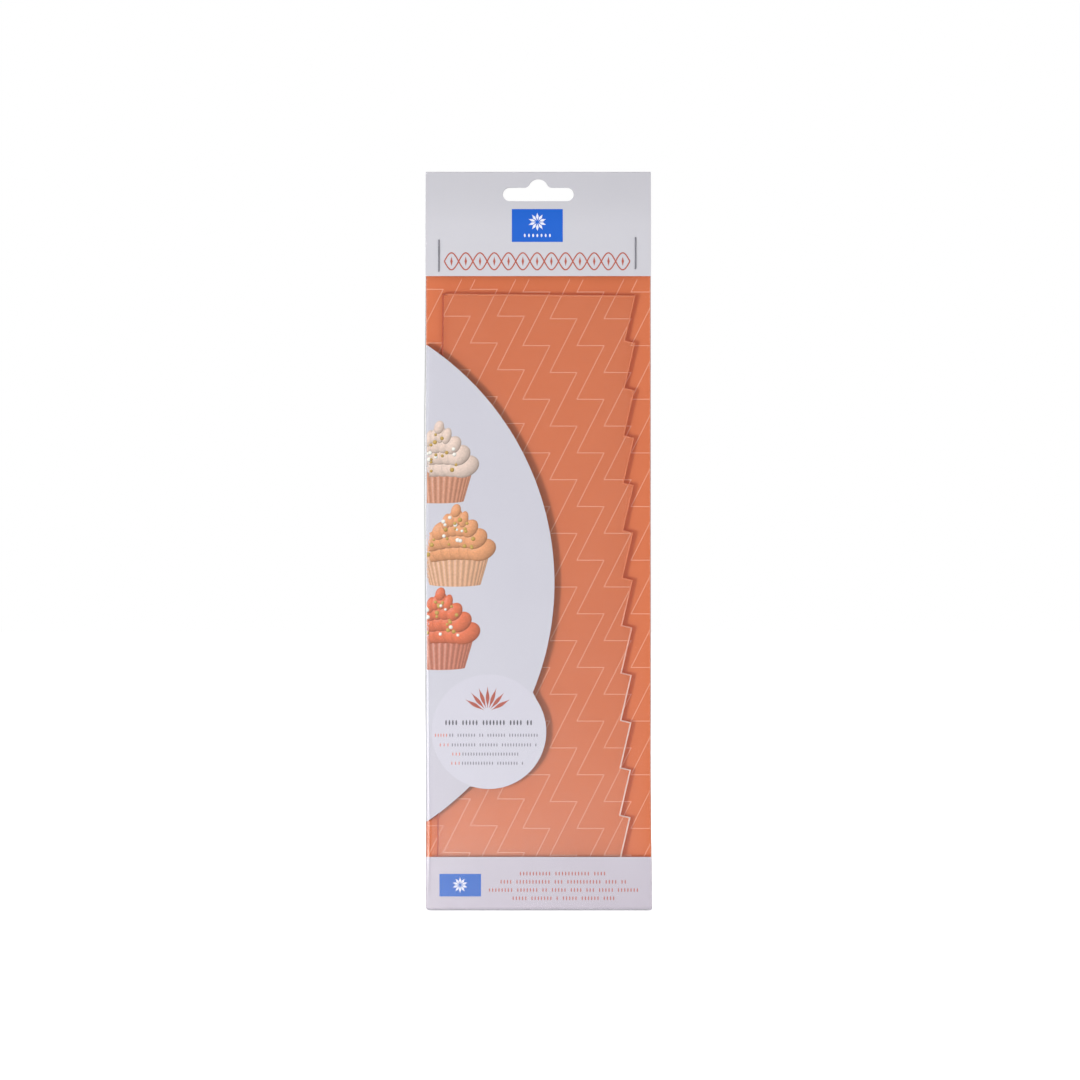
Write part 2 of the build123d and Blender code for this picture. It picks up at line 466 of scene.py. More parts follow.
def glancing(tree, straight, normal=None):
    """Share of light that a clear surface mirrors: straight on at a right angle, rising to one with
    the fifth power of how far the view slants."""
    weight = tree.nodes.new("ShaderNodeLayerWeight")
    weight.inputs["Blend"].default_value = 0.5
    if normal is not None:
        tree.links.new(normal, weight.inputs["Normal"])
    power = tree.nodes.new("ShaderNodeMath")
    power.operation = "POWER"
    power.inputs[1].default_value = 5.0
    tree.links.new(weight.outputs["Facing"], power.inputs[0])
    return ranged(tree, power.outputs[0], 0.0, 1.0, straight, 1.0)


def mixed(tree, share, first, second):
    """A mix of two shaders. The share of the second is a number or comes from a socket."""
    blend = tree.nodes.new("ShaderNodeMixShader")
    put(tree, share, blend.inputs["Fac"])
    tree.links.new(first, blend.inputs[1])
    tree.links.new(second, blend.inputs[2])
    return blend.outputs[0]


# The two broad faces are polished, with the faintest bloom
acrylic = bpy.data.materials.new("clear_acrylic")
acrylic.use_nodes = True
tree = acrylic.node_tree
tree.nodes.clear()
face_gloss = tree.nodes.new("ShaderNodeBsdfGlossy")
haze = ranged(tree, noise(tree, 60.0, 6.0), 0.4, 0.8, 0.16, 0.26)
tree.links.new(haze, face_gloss.inputs["Roughness"])
face_clear = tree.nodes.new("ShaderNodeBsdfTransparent")
face_clear.inputs["Color"].default_value = white
bloom = tree.nodes.new("ShaderNodeBsdfDiffuse")
face_body = mixed(tree, 0.009, face_clear.outputs[0], bloom.outputs[0])
face = mixed(tree, glancing(tree, 0.03), face_body, face_gloss.outputs[0])

# The cut edges are clear but finely frosted, more so lower down. Their colour is painted
# light and shade: a salmon glow on the upper edges, near-white on the lower ones and a dark
# red-brown shade on the left edge. Where board and film lie close round an edge, as ambient
# occlusion finds, it keeps this painted colour; in the open it turns a pale clear tint.
frost_and_painted_light_upper = -0.160
frost_and_painted_light_lower = -0.215
place = tree.nodes.new("ShaderNodeTexCoord")
spot = tree.nodes.new("ShaderNodeSeparateXYZ")
tree.links.new(place.outputs["Object"], spot.inputs["Vector"])
lower = ranged(tree, spot.outputs["Z"], frost_and_painted_light_upper, frost_and_painted_light_lower)
painted_shade_left_mask = ranged(tree, spot.outputs["X"], -0.0370, -0.0385)
# Painted light: salmon on the upper edges, near-white on the lower ones
painted_light_by_height = tinted(tree, lower, ink(255, 160, 118), ink(255, 232, 222))
# Painted shade: the left edge is dark red-brown
painted_light_and_shade_by_side = tinted(tree, painted_shade_left_mask, painted_light_by_height, ink(190, 92, 70))
surface = tree.nodes.new("ShaderNodeNewGeometry")
outward = tree.nodes.new("ShaderNodeVectorMath")
outward.operation = "SCALE"
turned_back = ranged(tree, surface.outputs["Backfacing"], 0.0, 1.0, 1.0, -1.0)
tree.links.new(surface.outputs["Normal"], outward.inputs[0])
tree.links.new(turned_back, outward.inputs["Scale"])
close_round = tree.nodes.new("ShaderNodeAmbientOcclusion")
close_round.samples = 6
close_round.inputs["Distance"].default_value = 12.0 * mm
tree.links.new(outward.outputs[0], close_round.inputs["Normal"])
in_open = ranged(tree, close_round.outputs["AO"], 0.25, 0.60)
# The painted light and shade stays near board and film and gives way to pale clear in the open
painted_edge_light_and_shade = tinted(tree, in_open, painted_light_and_shade_by_side, ink(214, 226, 226))

edge_glass = tree.nodes.new("ShaderNodeBsdfGlass")
edge_glass.inputs["IOR"].default_value = 1.49
edge_glass.inputs["Roughness"].default_value = 0.08
frost = tree.nodes.new("ShaderNodeBsdfDiffuse")
piped = tree.nodes.new("ShaderNodeBsdfTranslucent")
satin = tree.nodes.new("ShaderNodeBsdfGlossy")
satin.inputs["Roughness"].default_value = 0.14
# The painted edge colour tints the frost, the light piped through and the satin gloss alike
for finish in (frost, piped, satin):
    tree.links.new(painted_edge_light_and_shade, finish.inputs["Color"])
matt_edge = mixed(tree, 0.2, frost.outputs[0], piped.outputs[0])
frosted = mixed(tree, glancing(tree, 0.05), matt_edge, satin.outputs[0])
frosting = ranged(tree, spot.outputs["Z"], frost_and_painted_light_upper, frost_and_painted_light_lower, 0.85, 0.92)
edge = mixed(tree, frosting, edge_glass.outputs[0], frosted)

# Light that goes in at an edge is dimmed and reddened, and hardly so where it comes out
facing = tree.nodes.new("ShaderNodeSeparateXYZ")
tree.links.new(surface.outputs["Normal"], facing.inputs["Vector"])
broad = tree.nodes.new("ShaderNodeMath")
broad.operation = "ABSOLUTE"
tree.links.new(facing.outputs["Y"], broad.inputs[0])
on_face = tree.nodes.new("ShaderNodeMath")
on_face.operation = "GREATER_THAN"
on_face.inputs[1].default_value = 0.9
tree.links.new(broad.outputs[0], on_face.inputs[0])
going_in = (0.34, 0.08, 0.12, 1.0)
coming_out = (0.90, 0.82, 0.80, 1.0)
rim_tint = tinted(tree, surface.outputs["Backfacing"], going_in, coming_out)
pass_tint = tinted(tree, on_face.outputs[0], rim_tint, white)
let_through = tree.nodes.new("ShaderNodeBsdfTransparent")
tree.links.new(pass_tint, let_through.inputs["Color"])
seen = mixed(tree, on_face.outputs[0], edge, face)
lit = mixed(tree, shadow_pass(tree), seen, let_through.outputs[0])
acrylic_out = tree.nodes.new("ShaderNodeOutputMaterial")
tree.links.new(lit, acrylic_out.inputs["Surface"])

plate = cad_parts["scraper_plate"]
plate.data.materials.clear()
plate.data.materials.append(acrylic)


# Clear pouch
# A flat bag of thin clear film, sealed along its foot and open at the mouth. It is drawn smooth
# round the card, and slit upwards where the staples cross it.
film = 0.06
pouch_foot = -296.666
pouch_mouth = -13.3
pouch_rear = 0.35
pouch_front = 4.77
pouch_tuck = 0.10
pouch_round = 0.85
pouch_corner = 1.6

side_heights = (-296.7, -290.0, -280.0, -265.0, -240.0, -170.0, -130.0, -90.0, -60.0, -30.0, 0.0)
left_sides = (-46.75, -46.70, -46.65, -46.65, -46.70, -46.95, -47.27, -47.27, -46.90, -46.66, -46.66)
right_sides = (47.27, 47.27, 47.15, 46.90, 46.75, 46.70, 46.66, 46.66, 46.66, 46.66, 46.66)
crease_columns = np.arange(-46.3, -44.05, 0.1)
column_x = np.unique(np.concatenate([slit_columns, crease_columns, np.linspace(-43.9, 45.8, 33)]))
edge_turn = np.linspace(-pi / 2, pi / 2, 17)[1:-1]

# The film keeps a crease near its left side: its x, rise and half width, each at a few heights
ridge_line = ((-288.0, -266.0, -240.0, -200.0, -160.0), (-45.5, -44.92, -45.3, -45.5, -45.9))
ridge_rises = ((-293.0, -287.0, -262.0, -235.0, -150.0, -90.0), (0.0, 0.16, 0.19, 0.13, 0.05, 0.0))
ridge_widths = ((-260.0, -235.0), (0.46, 0.34))


def pouch_row(z, inset=0.0):
    """One turn round the pouch at height z: front sheet left to right, a rounded side, the rear
    sheet right to left, a rounded side. The sides are half superellipses, and inset draws it in."""
    tuck = pouch_tuck / (1 + np.exp((-35.5 - z) / 0.6))
    middle = (pouch_front + pouch_rear + tuck) / 2
    half_depth = (pouch_front - pouch_rear - tuck) / 2 - inset
    corner_drop = np.clip(pouch_corner - (z - pouch_foot), 0.0, pouch_corner)
    pull_in = pouch_corner - np.sqrt(pouch_corner**2 - corner_drop**2)
    left = np.interp(z, side_heights, left_sides) + np.maximum(pull_in, inset)
    right = np.interp(z, side_heights, right_sides) - inset
    power = 0.75
    side_out = pouch_round * np.cos(edge_turn) ** power
    side_depth = -np.sign(np.sin(edge_turn)) * np.abs(np.sin(edge_turn)) ** power
    inner_right = right - pouch_round
    inner_left = left + pouch_round
    front_x = np.clip(column_x, inner_left, inner_right)
    bow = 1 - ((front_x - (inner_left + inner_right) / 2) / ((inner_right - inner_left) / 2)) ** 8
    slack = 0.16 * bow / (1 + np.exp((z + 42.0) / 3.0)) * (1 - inset / 0.9)
    ripple = 0.2 * np.sin(front_x / 9.0 + z / 23.0) * np.sin(z / 17.0 - front_x / 31.0)
    ridge_away = (front_x - np.interp(z, *ridge_line)) / np.interp(z, *ridge_widths)
    ridge = np.interp(z, *ridge_rises) * np.exp(-(ridge_away**2))
    front_depth = middle + half_depth + slack * (1 + ripple) + ridge * (1 - inset / 0.9)
    rear_depth = np.full(front_x.shape, middle - half_depth)
    x = np.concatenate(
        [front_x, inner_right + side_out, front_x[::-1], inner_left - side_out]
    )
    depth = np.concatenate(
        [
            front_depth,
            middle + half_depth * side_depth,
            rear_depth[::-1],
            middle - half_depth * side_depth,
        ]
    )
    return np.column_stack([x, -depth, np.full(x.shape, z)])


row_z = np.concatenate(
    [
        [pouch_mouth, *slit_rows],
        np.linspace(-33.9, -38.0, 9),
        np.linspace(-40.0, pouch_foot + 6.0, 60),
        np.linspace(pouch_foot + 5.0, pouch_foot + pouch_round + 0.05, 8),
    ]
)
row_z = np.sort(row_z)[::-1]
foot_turn = np.linspace(0.0, pi / 2, 7)
foot_rows = [
    pouch_row(pouch_foot + pouch_round * (1 - np.sin(turn_)), pouch_round * (1 - np.cos(turn_)))
    for turn_ in foot_turn
]
seal = foot_rows[-1].copy()
seal[:, 1] = -(pouch_front + pouch_rear) / 2
rows = [pouch_row(z) for z in row_z] + foot_rows + [seal]
pouch_points = np.concatenate(rows)
around = len(rows[0])
ring = np.arange(around)
first = (np.arange(len(rows) - 1)[:, None] * around + ring).reshape(-1)
right_of = (np.arange(len(rows) - 1)[:, None] * around + (ring + 1) % around).reshape(-1)
pouch_faces = np.column_stack([first, right_of, right_of + around, first + around])
quad_middle = pouch_points[pouch_faces].mean(axis=1)
slit_quads = np.zeros(len(pouch_faces), dtype=bool)
for slit_x, slit_low in zip(staple_lines, slit_rows):
    slit_quads |= (abs(quad_middle[:, 0] - slit_x) < slit_half) & (quad_middle[:, 2] > slit_low)

clear_film = bpy.data.materials.new("clear_film")
clear_film.use_nodes = True
tree = clear_film.node_tree
tree.nodes.clear()
crinkle = noise(tree, 34.0)
lift = tree.nodes.new("ShaderNodeBump")
lift.inputs["Strength"].default_value = 0.20
lift.inputs["Distance"].default_value = 0.4 * mm
tree.links.new(crinkle, lift.inputs["Height"])
sheen = tree.nodes.new("ShaderNodeBsdfGlossy")
sheen.inputs["Roughness"].default_value = 0.24
tree.links.new(lift.outputs["Normal"], sheen.inputs["Normal"])
slant = tree.nodes.new("ShaderNodeLayerWeight")
slant.inputs["Blend"].default_value = 0.5
longer_path = ranged(tree, slant.outputs["Facing"], 0.15, 1.0, 0.99, 0.70)
clear_seen = tree.nodes.new("ShaderNodeBsdfTransparent")
tree.links.new(longer_path, clear_seen.inputs["Color"])
clear_lit = tree.nodes.new("ShaderNodeBsdfTransparent")
clear_lit.inputs["Color"].default_value = (0.99, 0.99, 0.99, 1.0)
mirrored = glancing(tree, 0.04, lift.outputs["Normal"])
film_face = mixed(tree, mirrored, clear_seen.outputs[0], sheen.outputs[0])
film_lit = mixed(tree, shadow_pass(tree), film_face, clear_lit.outputs[0])
film_out = tree.nodes.new("ShaderNodeOutputMaterial")
tree.links.new(film_lit, film_out.inputs["Surface"])

pouch = piece_from("film_pouch", pouch_points, pouch_faces[~slit_quads], [clear_film])
welded(pouch, 0.004)
thickened(pouch, film, offset=-1.0, even=False)
smooth_by_angle(pouch, 50.0)
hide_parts("clear_bag")
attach(pouch, "sleeve")


# Header card
# A strip of the same board folded over the mouth of the pouch. The front panel springs out past
# the pouch and leans back to the fold; the hang slot goes through both panels.
pack_half = 46.685
header_top = 9.495
header_foot = -34.0
header_depth = 5.045
header_rear = 0.175
header_bend = 0.325

lean_rows = np.linspace(0.0, 1.0, 40)
lean_z = header_foot + (header_top - board / 2 - header_bend - header_foot) * lean_rows
lean_start = (-13.0 - header_foot) / (lean_z[-1] - header_foot)
lean = np.clip((lean_rows - lean_start) / (1 - lean_start), 0.0, 1.0)
fold_front = header_rear + 2 * header_bend
lean_depth = header_depth - (header_depth - fold_front) * (1.55 * lean**2 - 0.55 * lean**3)
over = np.linspace(0.0, pi, 11)[1:-1]
over_depth = header_rear + header_bend + header_bend * np.cos(over)
over_z = header_top - board / 2 - header_bend + header_bend * np.sin(over)
rear_z = np.linspace(over_z[-1] - 0.02, header_foot, 24)
strip_depth = np.concatenate([lean_depth, over_depth, np.full(len(rear_z), header_rear)])
strip_z = np.concatenate([lean_z, over_z, rear_z])
strip_x = np.linspace(-pack_half, pack_half, 26)
strip_points = laid_out(strip_x, strip_depth[:, None], strip_z[:, None])
header_print = printed_board("header_print", ink(204, 203, 209), ink(199, 198, 205))
header = piece_from(
    "folded_header", strip_points, grid_faces(len(strip_z), len(strip_x)), [header_print, board_edge]
)
welded(header, 0.004)
thickened(header, board, rim=1)

# The slot's outline: two half rounds, and a bump above whose sides are eased into the top edge
slot_end = 2.9
slot_half = 14.7
bump_radius = 4.1
bump_rise = 6.4
ease = 2.4
bump_z = bump_rise - bump_radius
ease_z = slot_end + ease
ease_x = sqrt((bump_radius + ease) ** 2 - (ease_z - bump_z) ** 2)
right_turn = np.linspace(-pi / 2, pi / 2, 17)
touch = np.arctan2(ease_z - bump_z, ease_x)
ease_turn = np.linspace(-pi / 2, -pi + touch, 9)
bump_turn = np.linspace(touch, pi / 2, 13)[1:]
end_x = slot_half - slot_end + slot_end * np.cos(right_turn)
half_outline = np.concatenate(
    [
        np.column_stack([end_x, slot_end * np.sin(right_turn)]),
        np.column_stack([ease_x + ease * np.cos(ease_turn), ease_z + ease * np.sin(ease_turn)]),
        np.column_stack([bump_radius * np.cos(bump_turn), bump_z + bump_radius * np.sin(bump_turn)]),
    ]
)
slot_outline = np.concatenate([half_outline, half_outline[-2::-1] * (-1, 1)])


def prism(name, outline, near, far):
    """A closed block with the given outline in x and z, from depth near to depth far."""
    count = len(outline)
    ring = np.arange(count)
    after = (ring + 1) % count
    ends = [laid_out(outline[:, 0], depth, outline[:, 1]) for depth in (near, far)]
    mesh = bpy.data.meshes.new(name)
    sides = np.column_stack([ring, after, after + count, ring + count]).tolist()
    caps = [ring[::-1].tolist(), (ring + count).tolist()]
    mesh.from_pydata((np.concatenate(ends) * mm).tolist(), [], sides + caps)
    block = bpy.data.objects.new(name, mesh)
    scene.collection.objects.link(block)
    welded(block, 0.0005)
    return block


def cut_through(piece, cutters):
    """Takes each cutter out of the piece for good, and throws the cutters away."""
    for cutter in cutters:
        cut = piece.modifiers.new("cut", "BOOLEAN")
        cut.operation = "DIFFERENCE"
        cut.solver = "EXACT"
        cut.object = cutter
    graph = bpy.context.evaluated_depsgraph_get()
    piece.data = bpy.data.meshes.new_from_object(piece.evaluated_get(graph))
    piece.modifiers.clear()
    for cutter in cutters:
        bpy.data.objects.remove(cutter)


pin_hole = 0.325
pin_turn = np.linspace(0, 2 * pi, 17)[:-1]
pin_round = np.column_stack([pin_hole * np.cos(pin_turn), pin_hole * np.sin(pin_turn)])
staple_crown = 12.7
cut_near = -2.0
cut_far = 8.0
cutters = [prism("slot_cutter", slot_outline, cut_near, cut_far)]
for staple_x, staple_low in zip(staple_lines, staple_feet):
    for pin_z in (staple_low, staple_low + staple_crown):
        cutters.append(prism("pin_cutter", pin_round + (staple_x, pin_z), cut_near, cut_far))
cut_through(header, cutters)
welded(header, 0.002)
smooth_by_angle(header, 40.0)
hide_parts("header_card")
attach(header, "header")


# Zigzag print
# Fine pale lines on the orange side of the card: staircases of a level run and a long slant back,
# each column half a step out from the next. The right half of the print sits a little lower.
def ribbon_quads(starts, ends, start_cut, end_cut, mitre, half_width):
    """Flat quads along segments in x and z. An end is mitred, or cut upright where it is clipped."""
    way = (ends - starts) / np.linalg.norm(ends - starts, axis=1)[:, None]
    upright = np.column_stack([np.zeros(len(way)), half_width / way[:, 0]])
    first = np.where(start_cut[:, None], upright, mitre)
    last = np.where(end_cut[:, None], upright, mitre)
    corners = np.stack([starts - first, ends - last, ends + last, starts + first], axis=1)
    return corners.reshape(-1, 2), np.arange(4 * len(starts)).reshape(-1, 4)


def clipped(starts, ends, low, high):
    """The part of each segment between two corners of a rectangle: the overlap of the two spans,
    along x and along z, in which the segment is inside. Says which ends were cut."""
    run = ends - starts
    with np.errstate(divide="ignore", invalid="ignore"):
        to_low = (low - starts) / run
        to_high = (high - starts) / run
    level = np.abs(run) < 1e-9
    enter = np.where(level, 0.0, np.minimum(to_low, to_high)).max(axis=1).clip(0.0, None)
    leave = np.where(level, 1.0, np.maximum(to_low, to_high)).min(axis=1).clip(None, 1.0)
    inside = np.where(level, (starts > low) & (starts < high), True).all(axis=1)
    keep = (enter < leave - 1e-6) & inside
    starts, run, enter, leave = starts[keep], run[keep], enter[keep], leave[keep]
    cut_starts = starts + run * enter[:, None]
    cut_ends = starts + run * leave[:, None]
    return cut_starts, cut_ends, enter > 0.0, leave < 1.0


def ink_piece(name, points, depth, faces, paint, thickness=0.02):
    """A layer of ink on the card: points in x and z at a depth, given a hair of thickness."""
    depth = np.broadcast_to(depth, len(points))
    layer = piece_from(name, np.column_stack([points[:, 0], -depth, points[:, 1]]), faces, [paint])
    welded(layer, 0.0005)
    thickened(layer, thickness)
    return layer


zig_width = 11.22
zig_drop = 22.25
zig_start = (-39.45, -50.40)
zig_line = 0.16
zig_lower = 1.1
zig_nearer = 0.62
columns = np.arange(-1, 8)
steps = np.arange(-2, 12)
on_right = columns[:, None] >= 3
zig_x = zig_start[0] + zig_width * columns[:, None] - zig_nearer * on_right
zig_z = zig_start[1] + zig_drop / 2 * (columns[:, None] % 2) - zig_lower * on_right - zig_drop * steps
left_end = np.stack(np.broadcast_arrays(zig_x, zig_z), axis=2).reshape(-1, 2)
right_end = left_end + (zig_width, 0.0)
next_end = left_end - (0.0, zig_drop)
zig_lean = np.array([-zig_width, -zig_drop]) / sqrt(zig_width**2 + zig_drop**2)
zig_mitre = zig_line * np.array([-zig_lean[1], zig_lean[0] + 1.0]) / (1.0 + zig_lean[0])
print_low = np.array([card_left + 0.1, fold_z])
print_high = np.array([card_right - 0.1, card_top - 18.5])
zig = clipped(
    np.concatenate([left_end, right_end]), np.concatenate([right_end, next_end]), print_low, print_high
)
zig_points, zig_faces = ribbon_quads(*zig, zig_mitre, zig_line)
zig_ink = printed_board("zigzag_ink", ink(240, 170, 140), ink(234, 162, 132))
print_depth = back_depth + board / 2 + 0.005
zigzag = ink_piece("zigzag_print", zig_points, print_depth, zig_faces, zig_ink)
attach(zigzag, "sleeve")


# Pale round on the lobe
# The disc is printed a shade paler than the lobe that it grows out of. It is one thin layer of ink
# on the same coated board, and follows the lobe's face to the fold.
def lobe_front(x):
    """Depth of the lobe's printed face: flat, and round the crease along a quarter circle."""
    outer = card_bend + board / 2
    into = np.clip(fold_x - x, 0.0, outer)
    return flap_depth - card_bend + np.sqrt(outer**2 - into**2)


def round_patch(centre, radius, rings_, sides):
    """A disc in x and z: rings of points round a centre, and its quads."""
    turns = np.linspace(0.0, 2 * pi, sides + 1)
    radii = np.linspace(0.0, radius, rings_)[:, None]
    patch = np.stack([centre[0] + radii * np.cos(turns), centre[1] + radii * np.sin(turns)], axis=2)
    return patch.reshape(-1, 2), grid_faces(rings_, sides + 1)


disc_print = printed_board("disc_print", ink(212, 210, 221), ink(208, 206, 218))
patch_points, patch_faces = round_patch(disc_centre, disc_radius - 0.15, 8, 128)
pale_round = ink_piece(
    "pale_round", patch_points, lobe_front(patch_points[:, 0]) + 0.006, patch_faces, disc_print, 0.008
)
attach(pale_round, "sleeve")


# Blue tiles
# One solid blue patch on the header and a smaller one on the bottom flap. Both are flat ink laid on
# the board.
def header_front(z):
    """Depth of the header's printed face: half the board's thickness square to its leaning middle."""
    slope = np.gradient(lean_depth, lean_z)
    return np.interp(z, lean_z, lean_depth + board / 2 * np.sqrt(1 + slope**2))


def rectangle(left, right, low, high, rows_):
    """A rectangle in x and z, divided upwards so that it can follow a curved panel."""
    z = np.linspace(low, high, rows_)
    patch = np.stack([np.tile([left, right], (rows_, 1)), np.tile(z[:, None], (1, 2))], axis=2)
    return patch.reshape(-1, 2), grid_faces(rows_, 2)


def seeds(places, wide, tall, sides=10):
    """Flat oval seeds at places in x and z: each is a centre and a rim of points round it."""
    turns = np.linspace(0.0, 2 * pi, sides + 1)[:-1]
    rim = np.column_stack([wide / 2 * np.cos(turns), tall / 2 * np.sin(turns)])
    points = np.concatenate([places[:, None, :], places[:, None, :] + rim], axis=1).reshape(-1, 2)
    k = np.arange(sides)
    fan_faces = np.column_stack([np.zeros(sides, int), 1 + k, 1 + (k + 1) % sides])
    faces = (np.arange(len(places))[:, None, None] * (sides + 1) + fan_faces).reshape(-1, 3)
    return points, faces


def ribbon(path, width):
    """A flat band along a path in x and z: each point moved half the width to both sides."""
    along = np.gradient(path, axis=0)
    side = np.column_stack([-along[:, 1], along[:, 0]]) / np.linalg.norm(along, axis=1)[:, None]
    half = np.broadcast_to(width, len(path))[:, None] / 2
    points = np.stack([path - side * half, path + side * half], axis=1).reshape(-1, 2)
    return points, grid_faces(len(path), 2)


def petals(centre, inner, outer, width, turns):
    """Slim petals round a centre, one at each turn: a band that swells as the square of a sine."""
    along = np.linspace(0.0, 1.0, 13)
    swell = 0.12 * width + width * np.sin(pi * along) ** 2
    bands = []
    for turn_ in turns:
        way = np.array([cos(turn_), sin(turn_)])
        bands.append(ribbon(centre + (inner + (outer - inner) * along[:, None]) * way, swell))
    return joined(bands)


tile_blue = printed_board("tile_blue", ink(24, 99, 206), ink(20, 93, 198))
flap_blue = printed_board("flap_blue", ink(40, 106, 200), ink(34, 100, 194))
white_ink = printed_board("white_ink", ink(232, 234, 244), ink(226, 228, 240))
flap_front = flap_depth + board / 2

tile_points, tile_faces = rectangle(-10.97, 10.14, -19.89, -6.23, 24)
header_tile = ink_piece(
    "header_tile", tile_points, header_front(tile_points[:, 1]) + 0.01, tile_faces, tile_blue
)
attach(header_tile, "header")

tile_points, tile_faces = rectangle(-40.94, -23.72, -290.86, -281.50, 2)
flap_tile = ink_piece("flap_tile", tile_points, flap_front + 0.006, tile_faces, flap_blue, 0.012)
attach(flap_tile, "sleeve")


# Plain ornament
# Fine print in brown, grey and salmon ink: a twisted border on the header, a little fan and rows of
# small seeds on the disc, more rows on the bottom flap, and a white rosette on each blue tile.
def grouped_row(left, right, z, pitch, groups):
    """Centres of seeds from left to right at height z, with one left out after each group."""
    count = int((right - left) / pitch) + 1
    place = np.arange(count)
    gap = np.isin(place % sum(groups), np.cumsum(groups) - 1)
    x = left + (right - left) * place / (count - 1)
    return np.column_stack([x, np.full(count, z)])[~gap]


def grouped_rows(pitch, rows_):
    """Several grouped rows of one pitch: each gives its left, its right, its height and its groups."""
    return np.concatenate([grouped_row(*row_[:3], pitch, row_[3]) for row_ in rows_])


brown_ink = printed_board("brown_ink", ink(182, 94, 78), ink(176, 88, 73))
salmon_ink = printed_board("salmon_ink", ink(222, 142, 128), ink(216, 136, 122))
grey_ink = printed_board("grey_ink", ink(100, 98, 108), ink(94, 92, 102))
soft_ink = printed_board("soft_ink", ink(142, 140, 152), ink(136, 134, 146))
flap_ink = printed_board("flap_ink", ink(196, 126, 118), ink(190, 120, 112))

# White rosettes on the tiles, with a short row of seeds under the larger one
full_turn = np.linspace(0.0, 2 * pi, 11)[:-1] + pi / 2
rosette = petals(np.array([-0.4, -11.6]), 0.7, 3.7, 0.95, full_turn)
white_seeds = seeds(np.column_stack([np.linspace(-5.6, 4.8, 7), np.full(7, -17.2)]), 0.75, 1.4)
for name, (points, faces) in (("header_rosette", rosette), ("header_seeds", white_seeds)):
    mark = ink_piece(name, points, header_front(points[:, 1]) + 0.03, faces, white_ink)
    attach(mark, "header")
points, faces = petals(np.array([-32.4, -286.1]), 0.5, 3.2, 0.85, full_turn)
flap_mark = ink_piece("flap_rosette", points, flap_front + 0.018, faces, white_ink, 0.01)
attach(flap_mark, "sleeve")

# Twisted border along the foot of the header: two sine waves in step, a slim diamond in each eye
border_left = -38.9
border_right = 37.9
border_z = -27.9
border_half = 3.5
border_line = 0.54
border_eyes = 13
sweep_x = np.linspace(border_left, border_right, 26 * border_eyes + 1)
wave = np.sin((sweep_x - border_left) / (border_right - border_left) * pi * border_eyes)
over_strand, under_strand = [
    ribbon(np.column_stack([sweep_x, border_z + side * border_half * wave]), border_line)
    for side in (-1.0, 1.0)
]
eye_x = border_left + (np.arange(border_eyes) + 0.5) * (border_right - border_left) / border_eyes
eye_seeds = seeds(np.column_stack([eye_x, np.full(border_eyes, border_z)]), 1.0, 4.0, 4)
for name, (points, faces), rise in (
    ("border_over", over_strand, 0.014),
    ("border_under", under_strand, 0.006),
    ("border_seeds", eye_seeds, 0.006),
):
    border = ink_piece(name, points, header_front(points[:, 1]) + rise, faces, brown_ink, 0.012)
    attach(border, "header")

# Fan on the disc: seven slim petals turned about a point
fan_turns = radians(90.0) + np.linspace(-1.05, 1.05, 7)
fan_points_, fan_faces_ = petals(np.array([-21.0, -214.6]), 1.9, 10.4, 1.35, fan_turns)
disc_fan = ink_piece("disc_fan", fan_points_, flap_front + 0.014, fan_faces_, brown_ink, 0.008)
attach(disc_fan, "sleeve")

# Rows of seeds on the disc and on the bottom flap
small_places = grouped_rows(1.12, [
    (-36.6, 0.6, -224.1, (3, 8, 3, 8, 12)),
    (-35.6, -1.0, -228.1, (10, 8, 12)),
    (-31.2, -7.4, -231.9, (22,)),
    (-31.4, -6.6, -235.7, (13, 9)),
])
end_places = grouped_rows(1.12, [
    (-42.6, -38.0, -224.1, (9,)),
    (-40.6, -37.4, -228.1, (9,)),
    (-35.4, -32.6, -231.9, (9,)),
    (-35.8, -32.8, -235.7, (9,)),
])
flap_places = grouped_rows(1.30, [
    (-7.4, 27.4, -281.4, (11, 12)),
    (-15.4, 36.0, -284.8, (5, 12, 4, 12)),
    (-20.2, 41.0, -288.2, (9, 8, 3, 6, 5, 4, 6)),
    (-10.4, 31.2, -291.6, (6, 8, 2, 6, 7)),
])
rows_of_seeds = [
    ("disc_row", grouped_row(-38.2, -3.0, -218.9, 1.36, (5, 6, 8)), 0.72, 2.3, grey_ink, 0.014),
    ("disc_small_rows", small_places, 0.50, 1.5, soft_ink, 0.014),
    ("disc_salmon_row_ends", end_places, 0.50, 1.5, salmon_ink, 0.014),
    ("flap_rows", flap_places, 0.60, 1.8, flap_ink, 0.006),
]
for name, places, wide, tall, paint, rise in rows_of_seeds:
    points, faces = seeds(places, wide, tall, 8)
    row = ink_piece(name, points, flap_front + rise, faces, paint, 0.008)
    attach(row, "sleeve")


# Printed picture
# Three iced cupcakes one above the other run off the fold of the lobe. Colour is worked out at each
# point of the ink from the roundness of what is drawn, and the press adds a fine grain.
picture_ink = bpy.data.materials.new("picture_ink")
picture_ink.use_nodes = True
tree = picture_ink.node_tree
shader = tree.nodes["Principled BSDF"]
tone = tree.nodes.new("ShaderNodeAttribute")
tone.attribute_name = "tone"
speckle = ranged(tree, noise(tree, 1400.0), 0.3, 0.7, 0.90, 1.06)
printed = tree.nodes.new("ShaderNodeVectorMath")
printed.operation = "SCALE"
tree.links.new(tone.outputs["Color"], printed.inputs[0])
tree.links.new(speckle, printed.inputs["Scale"])
tree.links.new(printed.outputs[0], shader.inputs["Base Color"])
shader.inputs["Roughness"].default_value = 0.4
shader.inputs["Specular IOR Level"].default_value = 0.3

